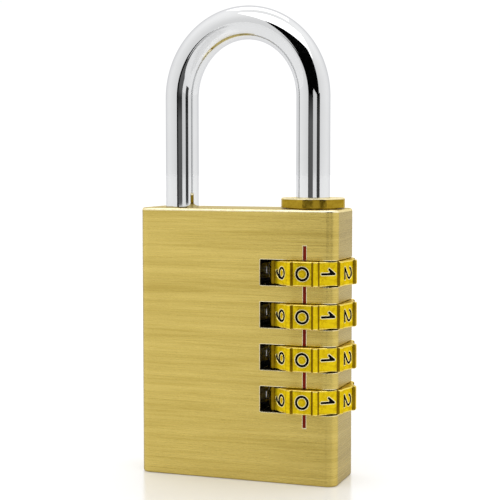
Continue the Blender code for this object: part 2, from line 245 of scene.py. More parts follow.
def polished_brass(name, dark, light, roughness=0.22, dents=0.010):
    """Bright brass with soft mottling and fine handling scratches; dents is their depth in mm."""
    shader = Shader(name, 1.0, roughness)
    blotches = shader.noise((700.0, 700.0, 700.0), detail=3.0, distortion=0.8)
    scratches = shader.noise((500.0, 500.0, 3200.0), detail=4.0, roughness=0.6)
    shader.colour(shader.ramp(shader.mix(0.25, blotches, scratches), (0.32, dark), (0.66, light)))
    shader.roughness(shader.ramp(blotches, (0.3, roughness - 0.04), (0.7, roughness + 0.08)))
    shader.bump((blotches, dents * MM), (scratches, 0.002 * MM))
    shader.principled.inputs["Specular Tint"].default_value = (0.9, 0.8, 0.5, 1.0)
    return shader.material


def chrome():
    """Mirror chrome with a trace of haze and wiping marks."""
    shader = Shader("mirror_chrome", 1.0, 0.03)
    haze = shader.noise((160.0, 160.0, 120.0), detail=5.0, distortion=0.5)
    wiped = shader.noise((1400.0, 1400.0, 180.0), detail=4.0)
    shader.colour(shader.ramp(haze, (0.3, (0.645, 0.65, 0.655)), (0.7, (0.675, 0.68, 0.685))))
    shader.roughness(shader.ramp(haze, (0.3, 0.02), (0.75, 0.05)))
    shader.bump((wiped, 0.0002 * MM))
    shader.principled.inputs["Specular Tint"].default_value = (0.78, 0.78, 0.80, 1.0)
    return shader.material


def turned_steel(name, dark, light, roughness=0.3):
    """Steel with turning marks round its axis."""
    shader = Shader(name, 1.0, roughness)
    marks = shader.noise((150.0, 150.0, 7000.0), detail=4.0)
    shader.colour(shader.ramp(marks, (0.3, dark), (0.7, light)))
    shader.roughness(shader.ramp(marks, (0.3, roughness - 0.06), (0.7, roughness + 0.1)))
    shader.bump((marks, 0.003 * MM))
    return shader.material


def paint(name, dark, light, roughness):
    """Paint wiped into a groove, or near-black painted shade in the slots: slightly uneven in tone and
    surface.
    """
    shader = Shader(name, 0.0, roughness)
    shader.principled.inputs["Specular IOR Level"].default_value = 0.08
    uneven = shader.noise((1600.0, 1600.0, 700.0), detail=5.0, distortion=0.8)
    shader.colour(shader.ramp(uneven, (0.3, dark), (0.7, light)))
    shader.roughness(shader.ramp(uneven, (0.3, roughness - 0.1), (0.7, roughness + 0.15)))
    shader.bump((uneven, 0.01 * MM))
    return shader.material


BODY_BRASS = brushed_brass("brushed_brass", (0.465, 0.347, 0.081), (0.65, 0.504, 0.146))
TOP_BRASS = polished_brass("top_brass", (0.40, 0.32, 0.12), (0.50, 0.41, 0.17), 0.34)
# Light brass for worn edges that also carries a painted highlight: bevels, top chamfer, index groove rims
# and the nut's rim
WORN_AND_HIGHLIGHT_EDGE_BRASS = polished_brass("worn_and_highlight_edge_brass", (0.78, 0.68, 0.42), (0.92, 0.84, 0.58), 0.24)
NUT_BRASS = polished_brass("nut_brass", (0.25, 0.152, 0.009), (0.37, 0.25, 0.022), 0.17)
DIAL_BRASS = polished_brass("dial_brass", (0.48, 0.305, 0.002), (0.82, 0.61, 0.010), 0.27, 0.016)
# Lighter brass as a painted highlight on the dial's rounded edges
DIAL_EDGE_HIGHLIGHT = polished_brass("dial_edge_highlight_brass", (0.72, 0.54, 0.08), (0.86, 0.70, 0.20), 0.22)
# Dark brass as painted shade: the dark lines beside each rib and along its edges
RIB_SHADE = polished_brass("rib_painted_shade_brass", (0.17, 0.105, 0.003), (0.27, 0.17, 0.006), 0.3)
# Near-white brass as a painted highlight round the engraved strokes
RIM_HIGHLIGHT_BRASS = polished_brass("engraved_rim_highlight_brass", (0.84, 0.74, 0.36), (0.95, 0.88, 0.54), 0.24)
CHROME = chrome()
TURNED = turned_steel("turned_steel", (0.42, 0.42, 0.43), (0.62, 0.62, 0.63))
SPRING = turned_steel("spring_steel", (0.62, 0.62, 0.63), (0.85, 0.85, 0.86), 0.3)
BLACK = paint("numeral_black", (0.0008, 0.0006, 0.0005), (0.003, 0.0025, 0.002), 0.7)
# Near-black paint on the slot and pocket walls: painted shade inside the slots
SLOT_SHADE = paint("slot_painted_shade", (0.002, 0.0014, 0.001), (0.016, 0.010, 0.004), 0.75)
RED = paint("index_red", (0.13, 0.006, 0.001), (0.21, 0.014, 0.003), 0.55)


# Mesh building


def polar(radius, angle):
    return (radius * math.cos(angle), radius * math.sin(angle))


def circle(radius, sides=ROUND_SIDES, turn=0.0):
    return [polar(radius, turn + 2.0 * math.pi * i / sides) for i in range(sides)]


def rounded_rectangle(width, depth, radius, steps=14):
    outline = []
    for quarter, (sx, sy) in enumerate([(1, 1), (-1, 1), (-1, -1), (1, -1)]):
        for step in range(steps + 1):
            x, y = polar(radius, (quarter + step / steps) * math.pi / 2.0)
            outline.append((sx * (width / 2.0 - radius) + x, sy * (depth / 2.0 - radius) + y))
    return outline


def wall(bm, levels):
    """Joins outlines of the same length, each at its height, into a wall."""
    loops = [[bm.verts.new((x, y, z)) for x, y in outline] for z, outline in levels]
    for low, high in zip(loops, loops[1:]):
        for i in range(len(low)):
            j = (i + 1) % len(low)
            bm.faces.new((low[i], low[j], high[j], high[i]))
    return loops[0], loops[-1]


def cap(bm, *loops):
    """Closes an outline, leaving open any outlines inside it."""
    verts = [v for loop in loops for v in loop]
    for corners in tessellate_polygon([[v.co for v in loop] for loop in loops]):
        bm.faces.new([verts[i] for i in corners])


def solid(levels):
    bm = bmesh.new()
    low, high = wall(bm, levels)
    bm.faces.new(low)
    bm.faces.new(high)
    return bm


def hollow(outer, inner):
    bm = bmesh.new()
    outer_low, outer_high = wall(bm, outer)
    inner_low, inner_high = wall(bm, inner)
    cap(bm, outer_low, inner_low)
    cap(bm, outer_high, inner_high)
    return bm


def rounded_ends(half, radius, outline, steps=3):
    """Levels of a prism with its end edges rounded over; outline(inset) is its shape, drawn in."""
    ends = []
    for step in range(steps + 1):
        angle = math.pi / 2.0 * step / steps
        ends.append((half - radius * (1.0 - math.cos(angle)), outline(radius * (1.0 - math.sin(angle)))))
    return [(-z, edge) for z, edge in ends] + ends[::-1]


def box(low, high):
    """A block between two corners."""
    (x0, y0, z0), (x1, y1, z1) = low, high
    outline = [(x0, y0), (x1, y0), (x1, y1), (x0, y1)]
    return solid([(z0, outline), (z1, outline)])


def sweep(bm, path, radii, sides, across):
    """Adds a round bar along a path. The direction across is never along the path."""
    loops = []
    for i, point in enumerate(path):
        along = (path[min(i + 1, len(path) - 1)] - path[max(i - 1, 0)]).normalized()
        side = along.cross(across).normalized()
        up = side.cross(along)
        loop = []
        for k in range(sides):
            angle = 2.0 * math.pi * k / sides
            loop.append(bm.verts.new(point + radii[i] * (math.cos(angle) * side + math.sin(angle) * up)))
        loops.append(loop)
    for low, high in zip(loops, loops[1:]):
        for k in range(sides):
            j = (k + 1) % sides
            bm.faces.new((low[k], low[j], high[j], high[k]))
    bm.faces.new(loops[0])
    bm.faces.new(loops[-1])


def piece(name, bm, material, location=(0.0, 0.0, 0.0)):
    bmesh.ops.recalc_face_normals(bm, faces=bm.faces)
    mesh = bpy.data.meshes.new(name)
    bm.to_mesh(mesh)
    bm.free()
    mesh.materials.append(material)
    made = bpy.data.objects.new(name, mesh)
    made.location = location
    bpy.context.collection.objects.link(made)
    return made


def bake(target):
    """Applies the modifiers."""
    bpy.context.view_layer.update()
    ready = target.evaluated_get(bpy.context.evaluated_depsgraph_get())
    mesh = bpy.data.meshes.new_from_object(ready)
    mesh.name = target.data.name
    target.modifiers.clear()
    target.data = mesh


def carve(target, *cutters):
    """Cuts each cutter out of the target; the cut faces keep the cutter's material."""
    for cutter in cutters:
        modifier = target.modifiers.new(cutter.name, "BOOLEAN")
        modifier.operation = "DIFFERENCE"
        modifier.solver = "EXACT"
        modifier.material_mode = "TRANSFER"
        modifier.object = cutter
    bake(target)
    for cutter in cutters:
        bpy.data.objects.remove(cutter, do_unlink=True)


def drop_slivers(target):
    """Dissolves the needle-thin faces that the cuts leave."""
    bm = bmesh.new()
    bm.from_mesh(target.data)
    bmesh.ops.dissolve_degenerate(bm, edges=bm.edges[:], dist=0.001 * MM)
    bm.to_mesh(target.data)
    bm.free()


def soften(target, width, angle=32.0, wear_and_highlight=None):
    """Breaks the sharp edges, in brass worn bright and painted with a highlight if asked, then shades the
    faces flat up to the rounded ones.
    """
    if width:
        bevel = target.modifiers.new("edge_break", "BEVEL")
        if wear_and_highlight:
            target.data.materials.append(wear_and_highlight)
            bevel.material = len(target.data.materials) - 1
        bevel.width = width
        bevel.segments = 2
        bevel.limit_method = "ANGLE"
        bevel.angle_limit = math.radians(angle)
        bevel.miter_outer = "MITER_ARC"
        bake(target)
    target.data.shade_smooth()
    target.data.set_sharp_from_angle(angle=math.radians(angle))
    normals = target.modifiers.new("face_normals", "WEIGHTED_NORMAL")
    normals.keep_sharp = True
    normals.weight = 100


def paint_faces(target, material, chosen):
    """Gives another material to the faces whose middle and normal pass the test."""
    target.data.materials.append(material)
    index = len(target.data.materials) - 1
    for face in target.data.polygons:
        if chosen(face.center, face.normal):
            face.material_index = index


def stand_for(made, body, slot, *nodes):
    """Puts a piece on a body, in place of the CAD nodes that it covers. The slot argument is not used."""
    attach(made, body)
    if nodes:
        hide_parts(*nodes)


# Body


def body_level(z, inset):
    """The body's outline at a height, drawn in by the inset."""
    size = (BODY_WIDTH - 2 * inset, BODY_DEPTH - 2 * inset, CORNER_RADIUS - inset)
    return (z, rounded_rectangle(*size))


def chamfer_levels(z, chamfer, way, steps=3):
    """Levels that round a horizontal edge over from the flat end to the side wall."""
    levels = []
    for step in range(steps + 1):
        angle = math.pi / 2.0 * step / steps
        levels.append(body_level(z + way * chamfer * (1 - math.cos(angle)), chamfer * (1 - math.sin(angle))))
    return levels


def make_body():
    """The block with its bores, slots and spring pockets, its sharp edges worn bright and given a painted
    highlight.
    """
    levels = chamfer_levels(0.0, BOTTOM_CHAMFER, 1)
    levels += reversed(chamfer_levels(BODY_TOP, TOP_CHAMFER, -1))
    body = piece("brass_body", solid(levels), BODY_BRASS)

    above = BODY_TOP + PAST
    toe = circle(LEG_HOLE_RADIUS)
    wide = circle(STACK_BORE_RADIUS)
    narrow = circle(NUT_BORE_RADIUS)
    stack = [(-PAST, wide), (STACK_BORE_TOP, wide), (STACK_BORE_TOP, narrow), (above, narrow)]
    toe_levels = [(BODY_TOP - TOE_BORE_DEPTH, toe), (above, toe)]
    carve(
        body,
        piece("toe_bore", solid(toe_levels), BODY_BRASS, (-LEG_X, 0.0, 0.0)),
        piece("stack_bore", solid(stack), BODY_BRASS, (LEG_X, 0.0, 0.0)),
    )
    far_x = BODY_HIGH.x + PAST
    far_y = BODY_HIGH.y + PAST
    for index in DIALS:
        z = dial_z(index)
        slot = box((SLOT_LEFT_X, -far_y, z - SLOT_HALF), (far_x, far_y, z + SLOT_HALF))
        # The slot's walls take the near-black painted shade
        carve(body, piece("slot", slot, SLOT_SHADE))
    soften(body, EDGE_BREAK, wear_and_highlight=WORN_AND_HIGHLIGHT_EDGE_BRASS)
    body.modifiers.clear()
    for index in DIALS:
        z = dial_z(index)
        low = (SLOT_LEFT_X - POCKET_DEPTH, -POCKET_WIDTH / 2.0, z - POCKET_HALF)
        high = (SLOT_LEFT_X + POCKET_DEPTH, POCKET_WIDTH / 2.0, z + POCKET_HALF)
        # The pocket's walls take the near-black painted shade
        carve(body, piece("pocket", box(low, high), SLOT_SHADE))
    # The shallow outer cut leaves rims of light brass along the groove: a painted highlight on the cut edge
    for edge, depth in ((INDEX_RIM, INDEX_RIM_DEPTH), (INDEX_GAP, INDEX_DEPTH)):
        half = INDEX_WIDTH / 2.0 + edge
        low = (INDEX_X - half, BODY_LOW.y - PAST, INDEX_FOOT - edge)
        high = (INDEX_X + half, BODY_LOW.y + depth, INDEX_TOP + edge)
        carve(body, piece("index_groove", box(low, high), WORN_AND_HIGHLIGHT_EDGE_BRASS))
    soften(body, 0.0)
    # The top chamfer takes the light edge brass: a painted highlight along the top edge
    paint_faces(body, WORN_AND_HIGHLIGHT_EDGE_BRASS, lambda middle, normal: middle.z > TOP_RIM_LOW and 0.2 < normal.z < 0.95)
    paint_faces(body, TOP_BRASS, lambda middle, normal: middle.z > TOP_RIM_LOW and normal.z >= 0.95)
    stand_for(body, "case", "body_brass", "padlock_body")


def make_index_line():
    """Paint in the groove, in the five stretches that the dials leave."""
    tops = [INDEX_TOP] + [dial_z(i) - SLOT_HALF for i in DIALS]
    feet = [dial_z(i) + SLOT_HALF for i in DIALS] + [INDEX_FOOT]
    half = INDEX_WIDTH / 2.0
    sunk = 0.06 * MM
    end_gap = 0.03 * MM
    for number, (top, foot) in enumerate(zip(tops, feet), 1):
        low = (INDEX_X - half, BODY_LOW.y + sunk, foot + end_gap)
        high = (INDEX_X + half, BODY_LOW.y + INDEX_DEPTH - INDEX_GAP, top - end_gap)
        line = piece(f"index_line_{number}", box(low, high), RED)
        soften(line, 0.05 * MM)
        stand_for(line, "case", "index_red")


# Dials


def dial_outline(inset=0.0):
    """Ten flats with a raised rib, rounded like the dial, between each two."""
    rib = RIB_RADIUS - inset
    outline = []
    for i in range(DIGITS):
        middle = INDEX_ANGLE + DIGIT_ANGLE * i
        # The two inner corners mark off the strips at the flat's ends that take painted shade
        for turn in (-FLAT_END, SHADE_STRIP_ANGLE - FLAT_END, FLAT_END - SHADE_STRIP_ANGLE, FLAT_END):
            outline.append(polar((FLAT_APOTHEM - inset) / math.cos(turn), middle + turn))
        start = middle + FLAT_END + RIB_TAPER
        end = middle + DIGIT_ANGLE - FLAT_END - RIB_TAPER
        outline.append(polar(rib - RIB_EDGE, start))
        for k in range(5):
            share = 0.12 + 0.76 * k / 4.0
            outline.append(polar(rib, start + (end - start) * share))
        outline.append(polar(rib - RIB_EDGE, end))
    return outline


def bore_outline(tip_radius):
    """The code teeth point inwards, half a digit round from the hub's."""
    tooth = [(DIAL_BORE_RADIUS, -8.5), (tip_radius, -6.0), (tip_radius, 6.0), (DIAL_BORE_RADIUS, 8.5)]
    outline = []
    for i in range(DIGITS):
        middle = DIGIT_ANGLE * (i + 0.5)
        for radius, spread in tooth:
            outline.append(polar(radius, middle + math.radians(spread)))
    return outline


def arc(cx, cy, rx, ry, start, end, steps=20):
    """Part of an ellipse round (cx, cy), between two angles in degrees."""
    points = []
    for i in range(steps + 1):
        angle = math.radians(start + (end - start) * i / steps)
        points.append((cx + rx * math.cos(angle), cy + ry * math.sin(angle)))
    return points


def digit_strokes(digit):
    """Centre lines of an engraved digit, in mm: x to the right and y up from its middle."""
    # The flag of the 1 narrows: two short strokes fill its root
    flag = [[(0.0, 1.22), (-0.85, 0.22)], [(-0.1, 0.98), (-0.5, 0.5)], [(-0.08, 0.72), (-0.3, 0.5)]]
    two_foot = [[(0.83, 0.04), (-1.02, -1.13)], [(-1.02, -1.13), (1.05, -1.13)]]
    five_top = [[(0.85, 1.13), (-0.7, 1.13)], [(-0.7, 1.13), (-0.82, 0.1)]]
    six = [arc(0.0, -0.38, 0.98, 0.72, 0, 360, 30), arc(0.55, -0.38, 1.53, 1.5, 180, 97, 14)]
    shapes = {
        0: [arc(0.0, 0.0, 1.14, 1.11, 0, 360, 36)],
        1: [[(0.0, -1.25), (0.0, 1.25)]] + flag,
        2: [arc(0.0, 0.42, 0.98, 0.72, 165, -32)] + two_foot,
        3: [arc(-0.05, 0.58, 0.84, 0.58, 155, -90), arc(-0.05, -0.58, 0.98, 0.62, 90, -155)],
        4: [[(0.4, -1.15), (0.4, 1.15)], [(0.4, 1.15), (-1.05, -0.45)], [(-1.05, -0.45), (1.0, -0.45)]],
        5: five_top + [arc(-0.05, -0.4, 1.0, 0.74, 140, -150)],
        6: six,
        7: [[(-1.0, 1.13), (1.0, 1.13)], [(1.0, 1.13), (-0.3, -1.15)]],
        8: [arc(0.0, 0.6, 0.76, 0.56, 0, 360, 30), arc(0.0, -0.56, 0.98, 0.62, 0, 360, 30)],
        9: [[(-x, -y) for x, y in stroke] for stroke in six],
    }
    return shapes[digit]


def offset_stroke(stroke, distance, closed):
    """The stroke's centre line moved sideways."""
    count = len(stroke)
    moved = []
    for i, (x, y) in enumerate(stroke):
        before = stroke[i - 1] if closed or i else stroke[i]
        after = stroke[(i + 1) % count] if closed or i < count - 1 else stroke[i]
        along = Vector((after[0] - before[0], after[1] - before[1])).normalized()
        moved.append((x - along.y * distance, y + along.x * distance))
    return moved


def round_end(centre, start, way):
    """Half a circle from a point beside the stroke's end, on round to its other side."""
    arm = Vector(start) - Vector(centre)
    points = []
    for degrees in (30, 60, 90, 120, 150):
        turned = Matrix.Rotation(way * math.radians(degrees), 2) @ arm
        points.append((centre[0] + turned.x, centre[1] + turned.y))
    return points


def stroke_edges(stroke, half):
    """The outline of a stroke, or the outer and inner outlines of a loop."""
    if math.dist(stroke[0], stroke[-1]) < 0.01:
        loop = stroke[:-1]
        return [offset_stroke(loop, half, True), offset_stroke(loop, -half, True)]
    left = offset_stroke(stroke, half, False)
    right = offset_stroke(stroke, -half, False)[::-1]
    return [left + round_end(stroke[-1], left[-1], -1) + right + round_end(stroke[0], right[-1], -1)]


def stroke_cutter(number, half, depth, material):
    """Cuts the given stroke of every digit. Those of one number never cross, so each cut is clean."""
    bm = bmesh.new()
    for digit in range(DIGITS):
        strokes = digit_strokes(digit)
        if number >= len(strokes):
            continue
        angle = INDEX_ANGLE + DIGIT_ANGLE * digit
        out = Vector((math.cos(angle), math.sin(angle), 0.0))
        up = Vector((-math.sin(angle), math.cos(angle), 0.0))
        right = Vector((0.0, 0.0, -1.0))
        floors, tops = [], []
        for edge in stroke_edges(strokes[number], half):
            # A digit's top points round the dial, and its right side down
            places = [out * FLAT_APOTHEM + up * y * MM + right * x * MM for x, y in edge]
            floors.append([bm.verts.new(place - out * depth * MM) for place in places])
            tops.append([bm.verts.new(place + out * MM) for place in places])
        for floor, top in zip(floors, tops):
            for i in range(len(floor)):
                j = (i + 1) % len(floor)
                bm.faces.new((floor[i], floor[j], top[j], top[i]))
        cap(bm, *floors)
        cap(bm, *tops)
    return piece("stroke_cutter", bm, material)


def engrave(target):
    """A shallow rim of near-white brass, a painted highlight round each stroke, and a deep painted groove
    along every stroke of every digit.
    """
    rims, grooves = [], []
    for number in range(max(len(digit_strokes(digit)) for digit in range(DIGITS))):
        # Unlike sizes keep crossing strokes from sharing a floor or a wall
        unlike = 0.004 * number
        rims.append(stroke_cutter(number, RIM_HALF, RIM_DEPTH + unlike, RIM_HIGHLIGHT_BRASS))
        grooves.append(stroke_cutter(number, STROKE_HALF + unlike, STROKE_DEPTH + unlike, BLACK))
    carve(target, *rims, *grooves)


def in_painted_rib_shade(middle, normal):
    """Whether a face is in the strip between a flat and a rib, or on the rib's edge, where dark brass paints
    lines of shade.
    """
    if middle.xy.length < 8.0 * MM or abs(normal.z) > 0.3:
        return False
    if abs(normal.xy.dot(middle.xy.normalized())) < 0.85:
        return True
    angle = math.atan2(middle.y, middle.x) - INDEX_ANGLE
    off = abs((angle + DIGIT_ANGLE / 2.0) % DIGIT_ANGLE - DIGIT_ANGLE / 2.0)
    return FLAT_END - SHADE_STRIP_ANGLE < off < FLAT_END


def on_highlight_edge(middle, normal):
    """Whether a face rounds the dial's outer edge, where lighter brass paints a highlight."""
    return 0.2 < abs(normal.z) < 0.98 and middle.xy.length > 7.6 * MM


def make_dials():
    """Four copies of one engraved ring, each on its own body."""
    outer = rounded_ends(DIAL_HALF, DIAL_CHAMFER, dial_outline)
    plain = bore_outline(DIAL_BORE_RADIUS)
    toothed = bore_outline(TOOTH_TIP_RADIUS)
    inner = [(-DIAL_HALF, plain), (TOOTH_BAND_LOW, plain), (TOOTH_BAND_LOW, toothed), (DIAL_HALF, toothed)]
    first = piece("dial_ring_1", hollow(outer, inner), DIAL_BRASS)
    # Painted highlight: lighter brass on the rounded edges
    paint_faces(first, DIAL_EDGE_HIGHLIGHT, on_highlight_edge)
    # Painted shade: dark brass on the strips beside the ribs, the steps up to them and the rib edges
    paint_faces(first, RIB_SHADE, in_painted_rib_shade)
    engrave(first)
    drop_slivers(first)
    soften(first, 0.0)
    rings = [first] + [first.copy() for _ in DIALS[1:]]
    for index, ring in zip(DIALS, rings):
        if ring is not first:
            bpy.context.collection.objects.link(ring)
        ring.name = f"dial_ring_{index}"
        ring.location = (LEG_X, 0.0, dial_z(index))
        bpy.context.view_layer.update()
        stand_for(ring, f"dial_{index}_ring", "dial_brass", f"dial_{index}")


# Shackle, nut, springs and plug


def make_shackle():
    """One bent bar from the heel round the arch to the toe, drilled for the four pins."""
    arch_z = SHACKLE_HIGH.z - SHACKLE_RADIUS - ARCH_RISE
    toe_z = BODY_TOP - TOE_BORE_DEPTH + TOE_FOOT_GAP
    heel_z = SHACKLE_LOW.z
    steps = 96

    def leg(x, end_z):
        """Points and radii from a leg's rounded end up to just below the arch, evenly ringed."""
        points, radii = [], []
        for i in range(6):
            angle = math.pi / 2.0 * i / 5
            points.append(Vector((x, 0.0, end_z + LEG_END_CHAMFER * (1 - math.cos(angle)))))
            radii.append(SHACKLE_RADIUS - LEG_END_CHAMFER * (1 - math.sin(angle)))
        rings = round((arch_z - end_z) / (1.5 * MM))
        for i in range(1, rings):
            z = end_z + LEG_END_CHAMFER + (arch_z - end_z - LEG_END_CHAMFER) * i / rings
            points.append(Vector((x, 0.0, z)))
            radii.append(SHACKLE_RADIUS)
        return points, radii

    path, radii = leg(LEG_X, heel_z)
    for i in range(steps + 1):
        x, z = polar(1.0, math.pi * i / steps)
        path.append(Vector((LEG_X * x, 0.0, arch_z + ARCH_RISE * z)))
    radii += [SHACKLE_RADIUS] * (steps + 1)
    toe_path, toe_radii = leg(-LEG_X, toe_z)
    path += reversed(toe_path)
    radii += reversed(toe_radii)
    bm = bmesh.new()
    sweep(bm, path, radii, 72, Vector((0.0, 1.0, 0.0)))
    bar = piece("chrome_shackle", bm, CHROME)
    for index in DIALS:
        pin_low, pin_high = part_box(f"locking_pin_{index}")
        z = (pin_low.z + pin_high.z) / 2.0
        hole = circle(PIN_HOLE_RADIUS, 32)
        cutter = piece("pin_hole", solid([(pin_low.y - 0.3 * MM, hole), (pin_high.y + PAST, hole)]), TURNED)
        cutter.matrix_world = Matrix.Translation((LEG_X, 0.0, z)) @ Matrix.Rotation(-math.pi / 2.0, 4, "X")
        carve(bar, cutter)
    drop_slivers(bar)
    bar.data.shade_smooth()
    bar.data.set_sharp_from_angle(angle=math.radians(35.0))
    stand_for(bar, "shackle_bar", "shackle_chrome", "shackle")


def make_guide_nut():
    """Round head with four wrench flats, on a round shank."""
    sectors = 8
    per_sector = ROUND_SIDES // sectors
    sector = 2.0 * math.pi / sectors
    head_low = BODY_TOP + 0.2 * MM
    rim_low = NUT_HIGH.z - 0.26 * MM
    shank_radius = 4.6 * MM
    turn = math.radians(42.0)

    def head(radius):
        """Flats and arcs by turns."""
        outline = []
        for i in range(sectors):
            start = turn + sector * i
            ends = Vector(polar(radius, start)), Vector(polar(radius, start + sector))
            for k in range(per_sector):
                share = k / per_sector
                arc_point = polar(radius, start + sector * share)
                outline.append(arc_point if i % 2 else tuple(ends[0].lerp(ends[1], share)))
        return outline

    outer = [
        (NUT_LOW.z, circle(shank_radius, turn=turn)),
        (head_low, circle(shank_radius, turn=turn)),
        (head_low, head(NUT_RADIUS - 0.06 * MM)),
        (head_low + 0.06 * MM, head(NUT_RADIUS)),
        (rim_low, head(NUT_RADIUS)),
        (NUT_HIGH.z - 0.18 * MM, head(NUT_RADIUS - 0.03 * MM)),
        (NUT_HIGH.z - 0.03 * MM, head(NUT_RADIUS - 0.18 * MM)),
        (NUT_HIGH.z, head(NUT_RADIUS - 0.3 * MM)),
    ]
    inner = [
        (NUT_LOW.z, circle(LEG_HOLE_RADIUS, turn=turn)),
        (NUT_HIGH.z - 0.15 * MM, circle(LEG_HOLE_RADIUS, turn=turn)),
        (NUT_HIGH.z, circle(LEG_HOLE_RADIUS + 0.15 * MM, turn=turn)),
    ]
    nut = piece("collar_nut", hollow(outer, inner), NUT_BRASS, (LEG_X, 0.0, 0.0))
    # The top rim takes the light edge brass: a painted highlight
    paint_faces(nut, WORN_AND_HIGHLIGHT_EDGE_BRASS, lambda middle, normal: middle.z > rim_low and normal.z > 0.15)
    soften(nut, 0.0, angle=22.0)
    stand_for(nut, "case", "body_brass", "guide_nut")


def bow(crest_x, foot_x, half_length, steps=40):
    """A bowed line along Y, its ends at one X and its crest at another."""
    points = []
    for i in range(steps + 1):
        t = 2.0 * i / steps - 1.0
        points.append((foot_x + (crest_x - foot_x) * math.cos(t * math.pi / 2.0) ** 2, t * half_length))
    return points


def make_click_springs():
    """A bowed leaf in each pocket, its crest towards the dial, with a rounded nose pressed in it."""
    for index in DIALS:
        low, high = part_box(f"click_spring_{index}")
        outer = bow(high.x, low.x + LEAF_THICKNESS, high.y)
        inner = bow(high.x - LEAF_THICKNESS, low.x, high.y)
        outline = outer + inner[::-1]
        bm = solid([(low.z, outline), (high.z, outline)])
        nose = Vector((NOSE_X, NOSE_Y, (low.z + high.z) / 2.0))
        stations = [(-1.0, 0.3), (-0.85, 0.8), (-0.6, 1.0), (0.6, 1.0), (0.85, 0.8), (1.0, 0.3)]
        path = [nose + Vector((0.0, 0.0, share * NOSE_HALF)) for share, _ in stations]
        sweep(bm, path, [size * NOSE_RADIUS for _, size in stations], 20, Vector((0.0, 1.0, 0.0)))
        leaf = piece(f"click_leaf_{index}", bm, SPRING)
        soften(leaf, 0.05 * MM, angle=40.0)
        stand_for(leaf, "case", "spring_steel", f"click_spring_{index}")


def make_reset_coil():
    """The spring under the stack, which shortens on the real lock as the stack is pushed down; this builds
    it at the CAD spring's length.
    """
    low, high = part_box("reset_spring")
    per_turn = 36
    coil_radius = (high.x - low.x) / 2.0 - RESET_WIRE_RADIUS
    rise = high.z - low.z - 2.0 * RESET_WIRE_RADIUS
    steps = round(RESET_TURNS * per_turn)
    path = []
    for i in range(steps + 1):
        x, y = polar(coil_radius, 2.0 * math.pi * i / per_turn)
        path.append(Vector((x, y, RESET_WIRE_RADIUS + rise * i / steps)))
    bm = bmesh.new()
    sweep(bm, path, [RESET_WIRE_RADIUS] * len(path), 12, Vector((0.0, 0.0, 1.0)))
    foot = (LEG_X, 0.0, low.z)
    coil = piece("reset_coil", bm, SPRING, foot)
    soften(coil, 0.0, angle=50.0)
    stand_for(coil, "case", "spring_steel", "reset_spring")
    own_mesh(coil)


def make_plug():
    """A disc with a rounded lower edge, in the foot of the stack's bore."""
    radius = (PLUG_HIGH.x - PLUG_LOW.x) / 2.0
    levels = [
        (PLUG_LOW.z, circle(radius - 0.25 * MM)),
        (PLUG_LOW.z + 0.07 * MM, circle(radius - 0.07 * MM)),
        (PLUG_LOW.z + 0.25 * MM, circle(radius)),
        (PLUG_HIGH.z, circle(radius)),
    ]
    plug = piece("base_plug", solid(levels), NUT_BRASS, (LEG_X, 0.0, 0.0))
    soften(plug, 0.0, angle=50.0)
    stand_for(plug, "case", "body_brass", "bottom_plug")


def finish_cad_nodes():
    """The inner pieces keep their CAD shapes and take a procedural metal."""
    for name, node in frame["nodes"].items():
        if name.startswith("spacer"):
            metal = NUT_BRASS
        elif name.startswith("retaining"):
            metal = SPRING
        else:
            metal = TURNED
        for slot in node.material_slots:
            slot.material = metal


# Studio


# The room's grey from behind the padlock (0) to the camera (1), and by height from level (0) to zenith (1)
AROUND = [
    (0.0, 0.70), (0.02, 0.66), (0.06, 0.68), (0.12, 0.72), (0.25, 0.76), (0.45, 0.77),
    (0.6, 0.74), (0.75, 0.71), (0.82, 0.68), (0.9, 0.645), (1.0, 0.57),
]
ABOVE = [(0.0, 0.88), (0.3, 0.89), (0.5, 0.93), (0.7, 0.99), (0.85, 1.0), (1.0, 0.93)]

CAMERA_AZIMUTH = math.radians(19.55)
CAMERA_ELEVATION = math.radians(4.07)
CAMERA_DISTANCE = 261.6 * MM
CAMERA_LENS = 95.3
AIM_RIGHT = 0.65 * MM
AIM_UP = 43.9 * MM


def make_camera():
    sin_a, cos_a = math.sin(CAMERA_AZIMUTH), math.cos(CAMERA_AZIMUTH)
    sin_e, cos_e = math.sin(CAMERA_ELEVATION), math.cos(CAMERA_ELEVATION)
    back = Vector((sin_a * cos_e, -cos_a * cos_e, sin_e))
    right = Vector((cos_a, sin_a, 0.0))
    up = back.cross(right)
    camera = bpy.data.objects.new("camera", bpy.data.cameras.new("camera"))
    camera.data.lens = CAMERA_LENS
    camera.data.clip_start = 0.01
    camera.location = back * CAMERA_DISTANCE + right * AIM_RIGHT + up * AIM_UP
    camera.rotation_euler = (math.pi / 2.0 - CAMERA_ELEVATION, 0.0, CAMERA_AZIMUTH)
    bpy.context.collection.objects.link(camera)
    bpy.context.scene.camera = camera


def make_floor():
    """A wide glossy white floor, lit a little from below."""
    shader = Shader("white_floor", 0.0, 0.2)
    shader.principled.inputs["IOR"].default_value = 1.85
    shader.principled.inputs["Emission Color"].default_value = (1.0, 1.0, 1.0, 1.0)
    shader.principled.inputs["Emission Strength"].default_value = 0.09
    tone = shader.noise((3.0, 3.0, 3.0), detail=2.0)
    shader.colour(shader.ramp(tone, (0.0, 0.87), (1.0, 0.9)))
    bm = bmesh.new()
    bmesh.ops.create_circle(bm, cap_ends=True, segments=96, radius=4.0)
    piece("floor", bm, shader.material)


def towards(azimuth, elevation):
    """A direction away from the padlock: azimuth from -Y towards +X, in degrees."""
    a, e = math.radians(azimuth), math.radians(elevation)
    return Vector((math.sin(a) * math.cos(e), -math.cos(a) * math.cos(e), math.sin(e)))


